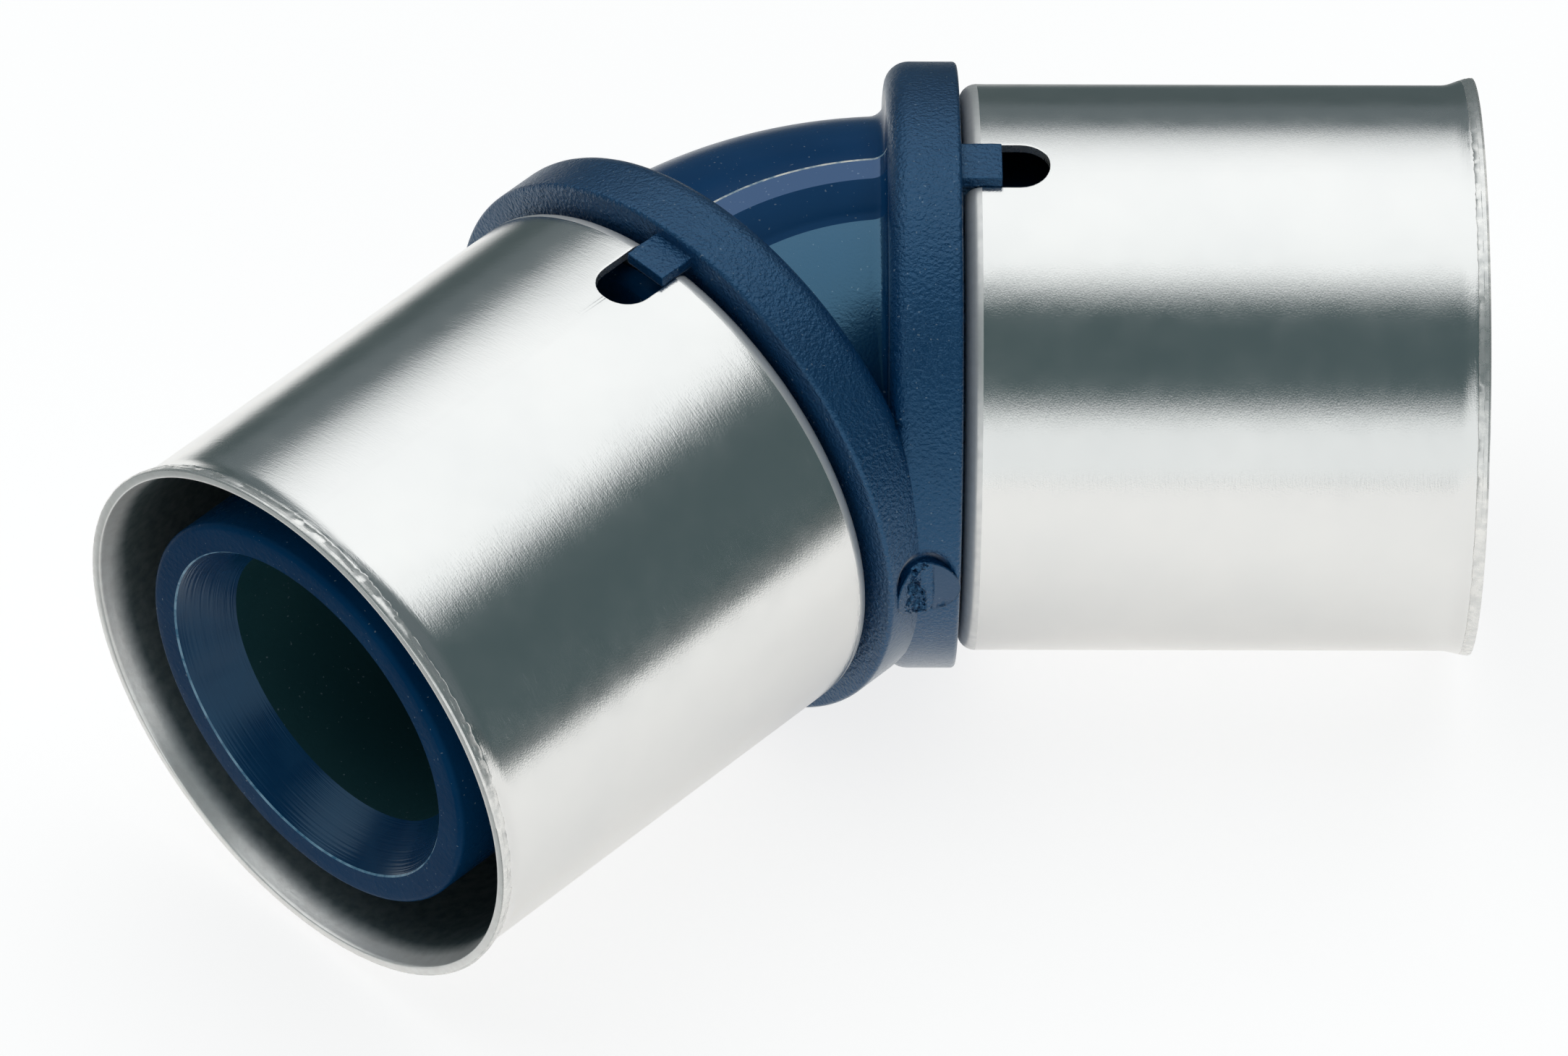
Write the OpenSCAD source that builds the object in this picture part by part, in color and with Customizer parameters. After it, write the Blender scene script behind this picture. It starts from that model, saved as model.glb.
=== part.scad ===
// Press elbow for plastic pipe: one moulded body, two steel press sleeves and four seal rings.
// The pipe axes lie in the plane z = 0 and cross at the origin. Leg A runs along +X,
// leg B is leg A turned through the angle between the legs. Lengths are in millimetres.
// Along a leg, "station" is the distance from the origin on that leg's axis.

/* [Pipe] */
// Outside diameter of the pipe that each leg takes
pipe_od = 50; // [49:0.1:51]
// Wall of that pipe
pipe_wall = 4.5; // [4.3:0.1:4.9]
// Length of pipe that slides over a spigot, from its stop to the spigot's tip
insertion = 43.95; // [40:0.05:50]

/* [Bend] */
// Angle by which the fitting turns the pipe, in degrees
bend_angle = 45; // [35:1:55]
// Radius of the bend's centre line
bend_r = 24; // [23.4:0.2:26]
// Outside diameter of the bend's tube
tube_d = 42.8; // [41.6:0.1:43.6]
// Height of the thicker outer band above the tube
band_lift = 2.1; // [1.4:0.1:2.6]
// Distance of the band's ridge outwards from the tube's centre line
band_ridge = 4.6; // [4:0.1:6]
// Width of the flat land inside the ridge
band_land = 2; // [1:0.1:2.4]
// Radius of the rounded shoulder that falls from the land to the tube
band_shoulder_r = 6.3; // [5.6:0.1:7.5]
// Diameter of the straight water way
bore_d = 29; // [24:0.5:30]

/* [Flanges] */
// Height of a flange's rim above the sleeve behind it
flange_lift = 1.9; // [1.7:0.05:4]
// Width of a flange along its leg
flange_w = 6.8; // [5.6:0.1:8]
// How far the bend's tube runs into a flange before it ends
flange_bite = 1.1; // [0.9:0.1:1.6]
// Rounding of a flange's rim on the bend's side
rim_round = 2.3; // [1.2:0.1:2.8]
// Rounding of a flange's rim on the sleeve's side
rim_edge = 0.4; // [0.2:0.1:0.8]
// Fillet between a flange and the bend
root_fillet = 1.4; // [0.6:0.1:2]

/* [Spigots] */
// Gap all round between a spigot and the inside of the pipe
spigot_gap = 0.06; // [0.03:0.01:0.2]
// Diameter of the water way at the spigot's mouth
mouth_d = 34.9; // [33:0.1:36]
// Depth of the cone that leads from the mouth to the water way
lead_depth = 5; // [3:0.5:8]
// Rounding of the tip's outer edge
tip_round = 0.6; // [0.3:0.1:1]
// Room all round between the snap collar and the inside of a sleeve
collar_gap = 2.25; // [2.1:0.05:2.4]
// Bevel on the collar's leading edge
collar_bevel = 0.7; // [0.3:0.1:1]
// How far the collar stands out past the hole in a sleeve's lip
lip_grip = 0.6; // [0.4:0.05:0.8]
// Gap all round between the lip's hole and the floor of the groove that it turns in
lip_play = 0.5; // [0.4:0.05:0.7]
// Width of that groove
lip_groove_w = 1.8; // [1.7:0.05:1.9]

/* [Seal rings] */
// Thickness of a ring's round section
seal_cord = 2.8; // [2.4:0.1:3.2]
// How far a ring stands out into the pipe's wall
seal_squeeze = 0.4; // [0.2:0.05:0.5]
// Room across a ring in its groove
seal_room = 0.8; // [0.4:0.1:1.2]
// Distance from the spigot's tip to the middle of the outer ring
seal_first = 9.3; // [8:0.1:12]
// Distance between the middles of the two rings
seal_pitch = 8.5; // [6:0.1:12]

/* [Press sleeves] */
// Thickness of the sleeve's sheet steel
sleeve_wall = 1; // [0.8:0.05:1.1]
// Gap all round between the pipe and a sleeve
sleeve_gap = 0.75; // [0.5:0.05:1]
// Gap between a flange and the sleeve behind it
sleeve_seat = 0.3; // [0.2:0.05:0.4]
// Outer radius of the rounded rear shoulder
shoulder_r = 1.6; // [1.3:0.1:2.2]
// How far a loose sleeve hangs below its spigot's axis
sleeve_drop = 0.3; // [0:0.05:0.35]
// Turn of the loose sleeves, tops towards the outside of the bend, in degrees
sleeve_turn = 0.9; // [-0.9:0.1:0.9]
// How far leg B's loose sleeve has slid out from its flange
sleeve_b_slip = 0.3; // [0:0.05:0.3]
// Distance from the spigot's tip to the sleeve's open rim
sleeve_reach = 1; // [0.8:0.1:3]
// Length of the flared mouth
flare_len = 3.2; // [2.6:0.1:6]
// Rise of the flare at the rim
flare_rise = 0.6; // [0.3:0.05:0.9]

/* [Lugs and windows] */
// Width of a lug
lug_w = 4.6; // [3.5:0.1:6]
// Length of a lug from its flange
lug_len = 3.8; // [3.4:0.1:5]
// Thickness of a lug, which is a tab that stands clear of the collar
lug_thick = 1.25; // [0.9:0.05:1.8]
// Height of a lug above the sleeve
lug_proud = 0.65; // [0.2:0.05:1]
// Gap between a lug and each side of its window
lug_side_gap = 0.5; // [0.45:0.05:0.6]
// Length of open window beyond the lug
window_open = 4.5; // [3.4:0.1:7]

/* [Gate mark] */
// Diameter of the broken gate stub
gate_d = 6.2; // [4:0.1:7]
// Distance of the stub from the flanges' crease towards leg A
gate_shift = 0.35; // [0:0.05:1.2]
// Height of the stub's end above the flanges' rims
gate_h = 0.12; // [0.08:0.02:0.3]
// Diameter of the pocket above the stub
pocket_d = 6.1; // [5:0.1:6.2]
// Distance of the pocket's middle above the stub's middle
pocket_up = 2.15; // [1.6:0.05:2.6]
// Depth of the pocket below the crease
pocket_depth = 1.25; // [0.8:0.05:1.8]

/* [Hidden] */
$fn = 96;

// Overlap that keeps joined shapes and cuts clear of each other's faces
eps = 1;
// Length that is longer than the whole fitting, for cuts that go right through
far = 4 * (pipe_od + insertion);
leg_b_turn = bend_angle - 180;

// Radii across a leg
spigot_r = pipe_od / 2 - pipe_wall - spigot_gap;
sleeve_in_r = pipe_od / 2 + sleeve_gap;
sleeve_r = sleeve_in_r + sleeve_wall;
flange_r = sleeve_r + flange_lift;
collar_r = sleeve_in_r - collar_gap;
lip_hole_r = collar_r - lip_grip;
lip_groove_r = lip_hole_r - lip_play;
tube_r = tube_d / 2;
band_r = tube_r + band_lift;
bore_r = bore_d / 2;
mouth_r = mouth_d / 2;
lug_top = sleeve_r + lug_proud;

// Stations along a leg
bend_end = bend_r * tan(bend_angle / 2);
flange_back = bend_end - flange_bite;
flange_face = flange_back + flange_w;
collar_back = flange_face + lip_groove_w;
pipe_stop = flange_face + lug_len;
spigot_tip = pipe_stop + insertion;
sleeve_rear = flange_face + sleeve_seat;
sleeve_rim = spigot_tip + sleeve_reach;
flare_start = sleeve_rim - flare_len;
window_w = lug_w + 2 * lug_side_gap;
window_end = pipe_stop + window_open;

// Seal rings: the ring's outside reaches past the pipe's bore by the squeeze
seal_out_r = pipe_od / 2 - pipe_wall + seal_squeeze;
seal_mid_r = seal_out_r - seal_cord / 2;
seal_floor_clear = 0.05;
seal_floor_r = seal_mid_r - seal_cord / 2 - seal_floor_clear;
seal_groove_w = seal_cord + seal_room;
seal_outer_at = spigot_tip - seal_first;
seal_inner_at = seal_outer_at - seal_pitch;

// Radius of the flare's arc, which leaves the sleeve's side smoothly
flare_r = (flare_len * flare_len + flare_rise * flare_rise) / (2 * flare_rise);

// The bend's band, measured out from the tube's centre line and up from the elbow's plane
ridge_up = sqrt(band_r * band_r - band_ridge * band_ridge);
land_drop = 0.3;
land_in = band_ridge - band_land;
land_slope = atan(land_drop / band_land);

// The fillets' toes start this far under the bend's skin, because the bend curves away from them
fillet_sink = 0.35;
// The tube's fillets end this far inwards, short of where the two flanges close up
fillet_reach = 0.55 * tube_r;
// The band's fillet starts this far outwards of the ridge
fillet_start = 0.5;

// Step outside the straight bores where the cores' round end fills the bend
core_step = 0.008;

// The gate stub fills the crease where the flanges meet inside the bend
crease_at = flange_r / cos(bend_angle / 2);
gate_turn = leg_b_turn / 2;
// The stub rises from this far under the crease, below the pocket's floor
gate_root = 2 * pocket_depth;
// Length that takes a shape on the crease clear of the flanges' outer edges
gate_clear = 3 * eps;

// Lays a shape that stands on +Z along leg A
module along_leg() {
    rotate([0, 90, 0]) children();
}

// Lays leg A's children along leg B
module on_leg_b() {
    rotate([0, 0, leg_b_turn]) children();
}

// A full turned ring with a rectangular section, as 2D: radii first, stations after
module band_2d(r_in, r_out, from, to) {
    translate([r_in, from]) square([r_out - r_in, to - from]);
}

// What a rounding takes off a convex corner at (r, station); up is 1 on the mouth's side
module round_off_2d(r, station, radius, up) {
    difference() {
        translate([r - radius, up > 0 ? station - radius : station - eps])
            square([radius + eps, radius + eps]);
        translate([r - radius, station - up * radius]) circle(radius);
    }
}

// What a fillet adds in the corner between a flange's back and a tube of radius r
module fillet_2d(r, station, radius) {
    difference() {
        translate([r - eps, station - radius]) square([radius + eps, radius + eps]);
        translate([r + radius, station - radius]) circle(radius);
    }
}

// Section of a leg's body: flange, lip groove, snap collar and spigot
module leg_2d() {
    difference() {
        union() {
            band_2d(0, flange_r, flange_back, flange_face);
            band_2d(0, lip_groove_r, flange_back, pipe_stop);
            difference() {
                band_2d(0, collar_r, collar_back, pipe_stop);
                polygon([[collar_r - collar_bevel, pipe_stop + eps],
                         [collar_r + eps, pipe_stop + eps],
                         [collar_r + eps, pipe_stop - collar_bevel - eps],
                         [collar_r, pipe_stop - collar_bevel],
                         [collar_r - collar_bevel, pipe_stop]]);
            }
            band_2d(0, spigot_r, flange_back, spigot_tip);
        }
        round_off_2d(flange_r, flange_back, rim_round, -1);
        round_off_2d(flange_r, flange_face, rim_edge, 1);
        round_off_2d(spigot_r, spigot_tip, tip_round, 1);
        for (at = [seal_outer_at, seal_inner_at])
            band_2d(seal_floor_r, spigot_r + eps, at - seal_groove_w / 2, at + seal_groove_w / 2);
    }
}

// Fillet round a tube of radius r at a flange's back, on the side where y is above a limit
module root_fillet_ring(r, y_from) {
    intersection() {
        along_leg() rotate_extrude() fillet_2d(r - fillet_sink, flange_back, root_fillet);
        translate([0, y_from, -far / 2]) cube(far);
    }
}

// One leg's body: the turned section, the fillets at its root and its two lugs
module leg() {
    along_leg() rotate_extrude() leg_2d();
    root_fillet_ring(tube_r, -fillet_reach);
    // the band stands higher, so it has its own fillet
    root_fillet_ring(band_r, band_ridge + fillet_start);
    lugs();
}

// The lugs reach out from the flange's face over the collar, above and below the elbow's plane
module lugs() {
    for (side = [0, 180])
        rotate([side, 0, 0])
            translate([flange_face - eps, -lug_w / 2, lug_top - lug_thick])
                cube([lug_len + eps, lug_w, lug_thick]);
}

// Upper half of the band's section: outer arc, ridge, sloping land and rounded shoulder
module band_half_2d() {
    shoulder_c = [bend_r + land_in + band_shoulder_r * sin(land_slope),
                  ridge_up - land_drop - band_shoulder_r * cos(land_slope)];
    intersection() {
        translate([bend_r, 0]) circle(band_r);
        union() {
            polygon([[bend_r + land_in, 0], [bend_r + band_r + eps, 0],
                     [bend_r + band_r + eps, ridge_up + eps], [bend_r + band_ridge, ridge_up + eps],
                     [bend_r + band_ridge, ridge_up], [bend_r + land_in, ridge_up - land_drop]]);
            intersection() {
                translate(shoulder_c) circle(band_shoulder_r);
                translate([bend_r - band_shoulder_r, 0])
                    square([band_shoulder_r + land_in + eps, band_r]);
            }
        }
    }
}

// Section of the bend: the round tube with the thicker band on its outer side
module bend_2d() {
    translate([bend_r, 0]) circle(tube_r);
    band_half_2d();
    mirror([0, 1]) band_half_2d();
}

// The bend runs between the ends of the two legs
module bend() {
    translate([bend_end, -bend_r, 0])
        rotate([0, 0, 90])
            rotate_extrude(angle = bend_angle) bend_2d();
}

// The water way of one leg, from the crossing of the axes out through the mouth
module water_way() {
    along_leg() {
        cylinder(r = bore_r, h = spigot_tip + eps);
        translate([0, 0, spigot_tip - lead_depth])
            cylinder(r1 = bore_r, r2 = mouth_r, h = lead_depth);
        translate([0, 0, spigot_tip]) cylinder(r = mouth_r, h = eps);
    }
}

// Round end of the cores, which joins the two straight bores
module core_ball() {
    rotate([0, 0, gate_turn + 90]) rotate([0, 90, 0]) rotate([0, 0, -90]) sphere(bore_r + core_step);
}

// Places children on the bend's inner side, +X pointing away from the origin
module at_crease() {
    rotate([0, 0, gate_turn]) translate([crease_at, 0, 0]) children();
}

// The round pocket that the gate ran into from above
module gate_pocket() {
    at_crease() translate([-pocket_depth, 0, pocket_up])
        rotate([0, 90, 0]) cylinder(d = pocket_d, h = pocket_depth + gate_clear);
}

// Plain cylinder a little larger than a flange's rim, short of the rim's outer edge
module gate_level() {
    along_leg() cylinder(r = flange_r + gate_h, h = flange_face - rim_edge);
}

// The round stub that is left where the gate was broken off, in line with both flanges' rims
module gate_stub() {
    intersection() {
        at_crease() translate([-gate_root, gate_shift, 0])
            rotate([0, 90, 0]) cylinder(d = gate_d, h = gate_root + gate_clear);
        union() {
            gate_level();
            on_leg_b() gate_level();
        }
    }
}

// The moulded body, one piece
module elbow_body() {
    color("#22446a")
        difference() {
            union() {
                difference() {
                    union() {
                        leg();
                        on_leg_b() mirror([0, 1, 0]) leg();
                        bend();
                    }
                    gate_pocket();
                }
                gate_stub();
            }
            water_way();
            on_leg_b() water_way();
            core_ball();
        }
}

// Section of a sleeve: inward lip, rounded shoulder, straight wall and flared mouth
module sleeve_2d() {
    shoulder_at = sleeve_rear + shoulder_r;
    band_2d(lip_hole_r, sleeve_r - shoulder_r, sleeve_rear, sleeve_rear + sleeve_wall);
    intersection() {
        translate([sleeve_r - shoulder_r, shoulder_at]) difference() {
            circle(shoulder_r);
            circle(shoulder_r - sleeve_wall);
        }
        band_2d(sleeve_r - shoulder_r, sleeve_r + eps, sleeve_rear - eps, shoulder_at);
    }
    band_2d(sleeve_in_r, sleeve_r, shoulder_at, flare_start);
    intersection() {
        translate([sleeve_r + flare_r, flare_start]) difference() {
            circle(flare_r + sleeve_wall);
            circle(flare_r);
        }
        band_2d(sleeve_in_r - eps, sleeve_r + flare_len, flare_start, sleeve_rim);
    }
}

// Outline of the windows that the lugs stand in, open at the sleeve's rear
module window_2d() {
    translate([sleeve_rear - eps, -window_w / 2])
        square([window_end - window_w / 2 - sleeve_rear + eps, window_w]);
    translate([window_end - window_w / 2, 0]) circle(d = window_w);
}

// One drawn steel sleeve, with a window above and one below, turned and slid by its play
module press_sleeve(turn, slip) {
    color("#c3c8c8")
        translate([slip, 0, -sleeve_drop])
            rotate([turn, 0, 0])
                difference() {
                    along_leg() rotate_extrude() sleeve_2d();
                    translate([0, 0, -far / 2]) linear_extrude(far) window_2d();
                }
}

// One rubber ring in its groove
module seal_ring(at) {
    color("#1c1e1f")
        along_leg() translate([0, 0, at]) rotate_extrude()
            translate([seal_mid_r, 0]) circle(d = seal_cord);
}

module press_sleeve_a() press_sleeve(-sleeve_turn, 0);
module press_sleeve_b() on_leg_b() press_sleeve(sleeve_turn, sleeve_b_slip);
module seal_ring_a_outer() seal_ring(seal_outer_at);
module seal_ring_a_inner() seal_ring(seal_inner_at);
module seal_ring_b_outer() on_leg_b() seal_ring(seal_outer_at);
module seal_ring_b_inner() on_leg_b() seal_ring(seal_inner_at);

elbow_body();
press_sleeve_a();
press_sleeve_b();
seal_ring_a_outer();
seal_ring_a_inner();
seal_ring_b_outer();
seal_ring_b_inner();
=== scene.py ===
# %% [markdown]
# # A press elbow for plastic water pipe
# The real fitting is one moulded blue body, two loose steel sleeves and four rubber rings.
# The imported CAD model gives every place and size. This notebook adds what a camera sees:
# the soft edges, the moulded texture, the drawn steel, the torn gate mark and the light.

# %% Load the CAD frame
import bpy
import math
import numpy as np
from mathutils import Matrix


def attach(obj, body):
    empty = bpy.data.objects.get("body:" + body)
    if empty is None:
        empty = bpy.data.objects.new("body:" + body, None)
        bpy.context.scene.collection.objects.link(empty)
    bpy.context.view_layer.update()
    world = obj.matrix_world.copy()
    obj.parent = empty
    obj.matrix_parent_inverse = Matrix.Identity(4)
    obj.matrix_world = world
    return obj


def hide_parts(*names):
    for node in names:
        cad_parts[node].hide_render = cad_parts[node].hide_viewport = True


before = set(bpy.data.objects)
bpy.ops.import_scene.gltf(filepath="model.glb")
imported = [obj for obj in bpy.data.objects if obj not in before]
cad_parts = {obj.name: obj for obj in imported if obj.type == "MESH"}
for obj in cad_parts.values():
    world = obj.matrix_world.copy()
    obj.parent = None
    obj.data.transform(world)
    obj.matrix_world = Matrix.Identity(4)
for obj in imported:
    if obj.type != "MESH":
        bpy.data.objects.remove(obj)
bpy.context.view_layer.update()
print("CAD nodes:", sorted(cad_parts))

# %% [markdown]
# All sizes below are in millimetres. A leg of the fitting is described by three numbers:
# s runs along the leg from the point where both pipe axes cross, o points away from the
# centre of the bend, and z is up. Leg B is the mirror image of leg A in the mitre plane.
# The stations in their order are the flange's BACK and FACE, the COLLAR behind the groove for
# the sleeve's lip, the pipe's STOP and the spigot's TIP. The sleeve runs from REAR to RIM.

# %% Sizes along a leg
HALF = math.radians(22.5)
TAN = math.tan(HALF)
BEND_R, TUBE_R, BAND_R = 24.0, 21.4, 23.5
BITE, FLANGE_W, LIP_GROOVE, LUG_LEN, INSERTION = 1.1, 6.8, 1.8, 3.8, 43.95
BEND_END = BEND_R * TAN
BACK = BEND_END - BITE
FACE = BACK + FLANGE_W
COLLAR = FACE + LIP_GROOVE
STOP = FACE + LUG_LEN
TIP = STOP + INSERTION
REAR = FACE + 0.3
RIM = TIP + 1.0
FLANGE_R, COLLAR_R, GROOVE_R, SPIGOT_R = 28.65, 23.5, 22.4, 20.44
print("flange", round(BACK, 3), "to", round(FACE, 3), "tip", round(TIP, 3), "rim", round(RIM, 3))


# %% [markdown]
# Blender takes a mesh as a list of points and a list of faces. The helpers below make both
# as whole numpy arrays: a surface is a grid of points, and its faces join neighbours in it.
# Working the grids out from formulas, and not with modelling operators, keeps every edge in
# its place to a hundredth of a millimetre.

# %% Helpers for meshes
def leg_points(leg, s, o, z):
    """Places leg coordinates in the row frame: leg A is (s, o, z); leg B is the same in the frame
    turned to -135 degrees with o reversed, which is leg A's mirror image in the mitre plane."""
    s, o, z = np.broadcast_arrays(s, o, z)
    if leg == "a":
        return np.stack([s, o, z], -1)
    t = math.radians(-135)
    return np.stack([s * math.cos(t) + o * math.sin(t), s * math.sin(t) - o * math.cos(t), z], -1)


def grid_faces(rows, cols, wrap=True, start=0):
    """Quads of a grid stored row by row: (i, j), (i, j+1), (i+1, j+1), (i+1, j)."""
    i, j = np.meshgrid(np.arange(rows - 1), np.arange(cols if wrap else cols - 1), indexing="ij")
    a, b = i * cols + j, i * cols + (j + 1) % cols
    return np.stack([a, b, b + cols, a + cols], -1).reshape(-1, 4) + start


def volume(points, quads):
    """Signed volume: the sum of the tetrahedra that each triangle makes with the origin."""
    p = points[quads]
    one = np.einsum("ij,ij->i", p[:, 0], np.cross(p[:, 1], p[:, 2])).sum()
    two = np.einsum("ij,ij->i", p[:, 0], np.cross(p[:, 2], p[:, 3])).sum()
    return (one + two) / 6


def make_object(name, points_mm, quads, finish=None, sharp=28):
    """Puts arrays of points and quads into a mesh, in metres, merges what coincides and links it.
    Edges between faces that turn by more than the angle called sharp stay crisp."""
    import bmesh
    mesh = bpy.data.meshes.new(name)
    points, quads = np.asarray(points_mm) / 1000, np.asarray(quads)
    mesh.vertices.add(len(points))
    mesh.vertices.foreach_set("co", points.astype(np.float32).ravel())
    mesh.loops.add(quads.size)
    mesh.loops.foreach_set("vertex_index", quads.ravel().astype(np.int32))
    mesh.polygons.add(len(quads))
    mesh.polygons.foreach_set("loop_start", np.arange(0, quads.size, 4, dtype=np.int32))
    mesh.update(calc_edges=True)
    if finish is not None:
        mesh.polygons.foreach_set("material_index", np.asarray(finish, np.int32))
    work = bmesh.new()
    work.from_mesh(mesh)
    bmesh.ops.remove_doubles(work, verts=work.verts, dist=1e-6)
    bmesh.ops.dissolve_degenerate(work, edges=work.edges, dist=1e-7)
    open_edges = sum(not e.is_manifold for e in work.edges)
    work.to_mesh(mesh)
    work.free()
    mesh.set_sharp_from_angle(angle=math.radians(sharp))
    thing = bpy.data.objects.new(name, mesh)
    bpy.context.scene.collection.objects.link(thing)
    print(name, len(mesh.vertices), "points", len(mesh.polygons), "faces", open_edges, "open edges")
    return thing


print("one millimetre along leg B is", leg_points("b", 1.0, 0.0, 0.0).round(4))


# %% [markdown]
# ## The moulded body
# The body is one piece of plastic: a bent tube with a thicker outer band, two round flanges,
# two snap collars and two spigots. It could be cut from the CAD solid, but that mesh has long
# thin triangles that take no fine edge roundings. Here one closed profile is carried round each
# leg instead. A row is a ring of points round the axis, a column is the profile at one angle.
# Columns lie closer together at the band's ridge, at both ends of its shoulder and inside the
# bend. RIDGE and LAND are the two edges of the sloping land, each as a distance outwards and a
# height from the tube's centre line.

# %% Angles of the columns
RIM_ROUND = 2.3
RIDGE, LAND = np.array([4.6, 23.0456]), np.array([2.6, 22.7456])
LAND_NORMAL, LAND_AWAY = np.array([-0.1483, 0.9889]), 22.108
SHOULDER, SHOULDER_FOOT = 9.4, 91.3
ridge = math.degrees(math.atan2(RIDGE[1], RIDGE[0]))
land = math.degrees(math.atan2(LAND[1], LAND[0]))
pinch = math.degrees(math.acos(BACK / TAN / TUBE_R))
rim_pinch = math.degrees(math.acos(BACK / TAN / (FLANGE_R - RIM_ROUND)))
fine = [0, .25, .5, .8, 1.2]
special = [r + k * d for r in (ridge, land, SHOULDER_FOOT) for d in fine for k in (-1, 1)]
special += [180 - rim_pinch, 180 - pinch] + list(180 - np.arange(0, 11.6, 0.33))
special = np.array([x for x in special if x <= 180])
even = np.arange(0, 180, 1.6)
even = even[np.abs(even[:, None] - special[None]).min(1) > 0.13]
half_turn = np.unique(np.round(np.concatenate([even, special]), 6))
exact = {round(180 - pinch, 6), round(180 - rim_pinch, 6)}
keep = [0]
for i in range(1, len(half_turn)):
    if half_turn[i] - half_turn[keep[-1]] > 0.12 or half_turn[i] in exact:
        keep.append(i)
half_turn = half_turn[keep]
half_turn[-1] = 180.0
PHI = np.radians(np.concatenate([half_turn, -half_turn[-2:0:-1]]))
COS, SIN = np.cos(PHI), np.sin(PHI)
print(len(PHI), "columns; the back faces meet", round(pinch, 2), "degrees from the inside")


# %% [markdown]
# Cut across, the bend is a round tube with a thicker band on its outer side. The band ends in
# a sharp ridge, then comes a flat sloping land 2 mm wide, and a rounded shoulder runs down to
# the tube. In a mould these are turned and milled faces, so each is a circle or a line here,
# and the section at an angle is the smallest or largest of them with a tiny rounding between.

# %% Section of the bend
def soft_min(a, b, k):
    """The smaller of a and b, with the corner rounded over a height of k."""
    h = np.clip(1 - np.abs(a - b) / k, 0, 1)
    return np.minimum(a, b) - h * h * k / 4


def bend_radius(phi):
    """Distance from the tube's centre line to its skin at an angle: the band's circle, then the
    sloping land, then the rounded shoulder, and the plain tube wherever that is larger."""
    a = np.abs(phi)
    c, s = np.cos(a), np.sin(a)
    line = LAND_AWAY / np.maximum(LAND_NORMAL[0] * c + LAND_NORMAL[1] * s, 0.2)
    centre = LAND - LAND_NORMAL * SHOULDER
    along = centre[0] * c + centre[1] * s
    arc = along + np.sqrt(np.maximum(along ** 2 - centre @ centre + SHOULDER ** 2, 0))
    inner = np.where(a < math.radians(land), line, arc)
    inner = np.where(a < math.radians(60), 99.0, inner)
    band = soft_min(inner, BAND_R + 0 * a, 0.035)
    return -soft_min(-band, -TUBE_R + 0 * a, 0.22)


SECTION = bend_radius(PHI)
junction = np.degrees(np.abs(PHI[(SECTION < TUBE_R + 0.03) & (PHI > 1.4)]).min())
print("section radius from", SECTION.min().round(3), "to", SECTION.max().round(3))


# %% [markdown]
# A row holds s, o and z at every column, and the number of its finish. The first rows follow
# the bend from the mitre plane, which halves the angle between the legs, to the fillet at the
# flange. Turning the section about the bend's centre gives them exactly, where a curve with a
# bevel would only come near the fillet and could not be joined to the flange without a seam.
# The finishes' numbers are places in the list of materials that the body gets further down.

# %% Rows of the bend
FILLET = 1.4
(ON_BEND, ON_FLANGE, ON_SPIGOT, ON_CONE, ON_TEAR, ON_EDGE, ON_BORE, ON_CUT, ON_BAND,
 ON_TUBE) = range(10)
rows, kinds = [], []


def add_row(s, o, z, kind):
    """Appends one row and its finish."""
    rows.append(np.stack(np.broadcast_arrays(s + 0 * COS, o, z), -1))
    kinds.append(kind)


def add_ring(s, r, kind):
    """Appends a circle of radius r round the leg's axis at station s."""
    add_row(s, r * COS, r * SIN, kind)


reach = BEND_R + SECTION * COS
room = np.maximum(reach * math.sin(HALF) - BITE, 0)
fillet = np.minimum(FILLET, 0.3 * room)
stop = np.arcsin(np.clip((BITE + fillet) / reach, 0, math.sin(HALF)))
for t in np.linspace(0, 1, 27):
    b = HALF + (stop - HALF) * t
    add_row(BEND_END - reach * np.sin(b), -BEND_R + reach * np.cos(b), SECTION * SIN, ON_BEND)
for a in np.radians([12, 25, 38, 51, 64, 77, 90]):
    off, gap = fillet * (1 - math.cos(a)), fillet * (1 - math.sin(a))
    q = reach + COS * off
    b = np.arcsin(np.clip((BITE + gap) / q, 0, math.sin(HALF)))
    add_row(BEND_END - q * np.sin(b), -BEND_R + q * np.cos(b), (SECTION + off) * SIN, ON_BEND)
print(len(rows), "rows from the mitre plane to the flange")

# %% [markdown]
# A flange is a disc with a well rounded rim on the bend's side and a small edge on the
# sleeve's side. Inside the bend the two discs run into each other. Every column there starts
# on the curve in which they cross, so the halves share those points and no boolean is needed.

# %% Rows of the flange
RIM_EDGE = 0.4
o0, z0 = rows[-1][:, 1], rows[-1][:, 2]
edge = FLANGE_R - RIM_ROUND
crossing = BACK / TAN / np.maximum(-COS, 1e-6)
r_last = np.minimum(edge, crossing)
for t in (0.03, 0.35, 0.7, 0.97, 1.0):
    add_row(BACK, o0 + (r_last * COS - o0) * t, z0 + (r_last * SIN - z0) * t,
            ON_BEND if t < 0.9 else ON_FLANGE)
first = len(rows)
a_try = np.linspace(0, math.pi / 2, 400)[:, None]
over = (BACK + RIM_ROUND - RIM_ROUND * np.cos(a_try)
        + TAN * (edge + RIM_ROUND * np.sin(a_try)) * COS[None])
a0 = np.where((over < 0).any(0), a_try[(over < 0).sum(0).clip(0, 399), 0], 0)
a0 = np.where(r_last >= edge, 0, a0)
for t in (0, .06, .18, .3, .42, .54, .66, .78, .9, 1):
    a = a0 + (math.pi / 2 - a0) * t
    s, r = BACK + RIM_ROUND - RIM_ROUND * np.cos(a), edge + RIM_ROUND * np.sin(a)
    s = np.maximum(s, -TAN * r * COS)
    add_row(s, r * COS, r * SIN, ON_FLANGE)
s0 = np.maximum(BACK + RIM_ROUND, TAN * FLANGE_R * -COS)
for t in np.linspace(0, 1, 22)[1:]:
    add_ring(s0 + (FACE - RIM_EDGE - s0) * t, FLANGE_R, ON_FLANGE)
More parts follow.
